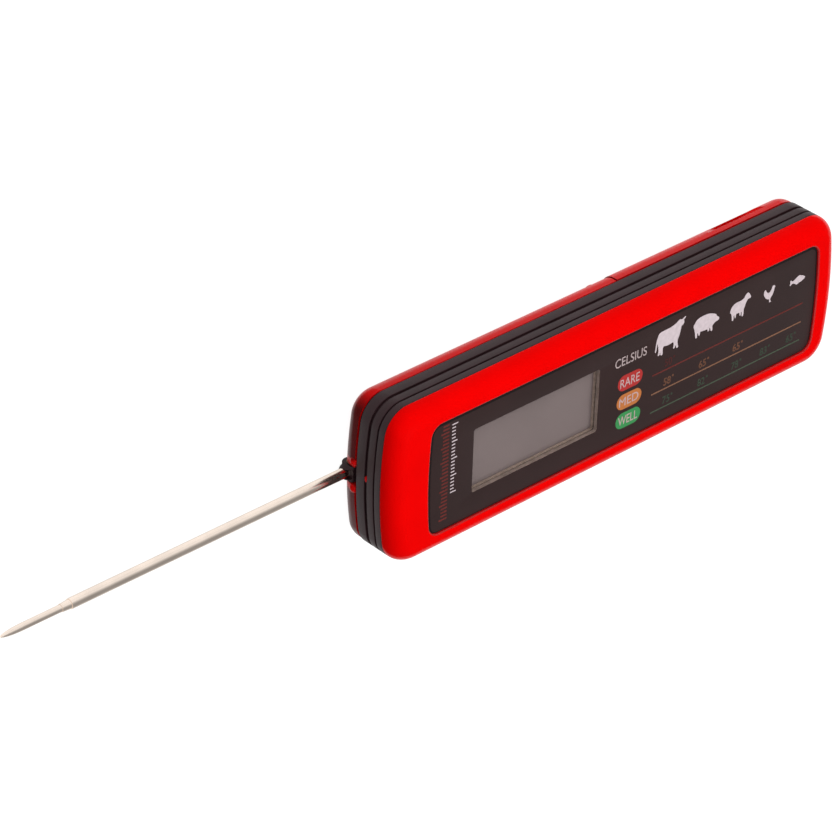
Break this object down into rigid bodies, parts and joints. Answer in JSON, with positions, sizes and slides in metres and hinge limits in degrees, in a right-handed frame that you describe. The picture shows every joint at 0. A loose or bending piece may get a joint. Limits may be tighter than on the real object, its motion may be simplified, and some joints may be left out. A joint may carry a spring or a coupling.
{
  "type": "folding digital meat thermometer",
  "caption": "Pocket digital meat thermometer with a slim steel probe that folds into a groove in the back, a display with a doneness chart, and a sliding battery door.",
  "frame": {"origin": "middle of the open length, on the surface that the case's flat back rests on", "axes": "+X along the case from the probe end to the tail end, +Y up on the display, +Z out of the display"},
  "size_m": [0.2644, 0.0444, 0.0198],
  "materials": {
    "red_shell": "satin",
    "black_shell": "satin",
    "black_panel": "gloss",
    "clear_window": "clear",
    "lcd_glass": "satin",
    "white_plastic": "matte",
    "foam": "matte",
    "elastomer": "matte",
    "board_green": "satin",
    "epoxy": "gloss",
    "components": "satin",
    "reed_glass": "clear",
    "cell_jacket": "satin",
    "spring_steel": "bright",
    "nickel_strip": "bright",
    "copper_wire": "bright",
    "brass_washer": "satin",
    "magnet": "satin",
    "probe_steel": "polished",
    "sensor_bead": "satin",
    "screw_steel": "satin"
  },
  "bodies": {
    "case": {"front_bezel": "red_shell", "fascia_panel": "black_panel", "display_window": "clear_window", "display_gasket": "foam", "lcd": "lcd_glass", "lcd_holder": "white_plastic", "zebra_strips": "elastomer", "circuit_board": "board_green", "chip_blob": "epoxy", "board_components": "components", "reed_switch": "reed_glass", "mid_frame": "black_shell", "case_seal": "elastomer", "rear_cover": "red_shell", "battery_cells": "cell_jacket", "battery_springs": "spring_steel", "bridge_plate": "nickel_strip", "terminal_plates": "nickel_strip", "power_wires": "copper_wire", "hinge_pin": "screw_steel", "friction_washers": "brass_washer", "hinge_leads": "copper_wire", "case_screws": "screw_steel", "board_screws": "screw_steel"},
    "probe": {"probe_knuckle": "black_shell", "knuckle_magnet": "magnet", "probe_tube": "probe_steel", "probe_tip": "probe_steel", "thermistor": "sensor_bead", "sensor_leads": "copper_wire"},
    "door": {"battery_door": "red_shell"}
  },
  "joints": [
    {"name": "probe_fold", "type": "hinge", "parent": "case", "child": "probe", "pos_m": [-0.02455, 0, 0.0024], "axis": [0, -1, 0], "range_deg": [0, 180]},
    {"name": "door_slide", "type": "slide", "parent": "case", "child": "door", "axis": [1, 0, 0], "range_m": [0, 0.007]}
  ]
}
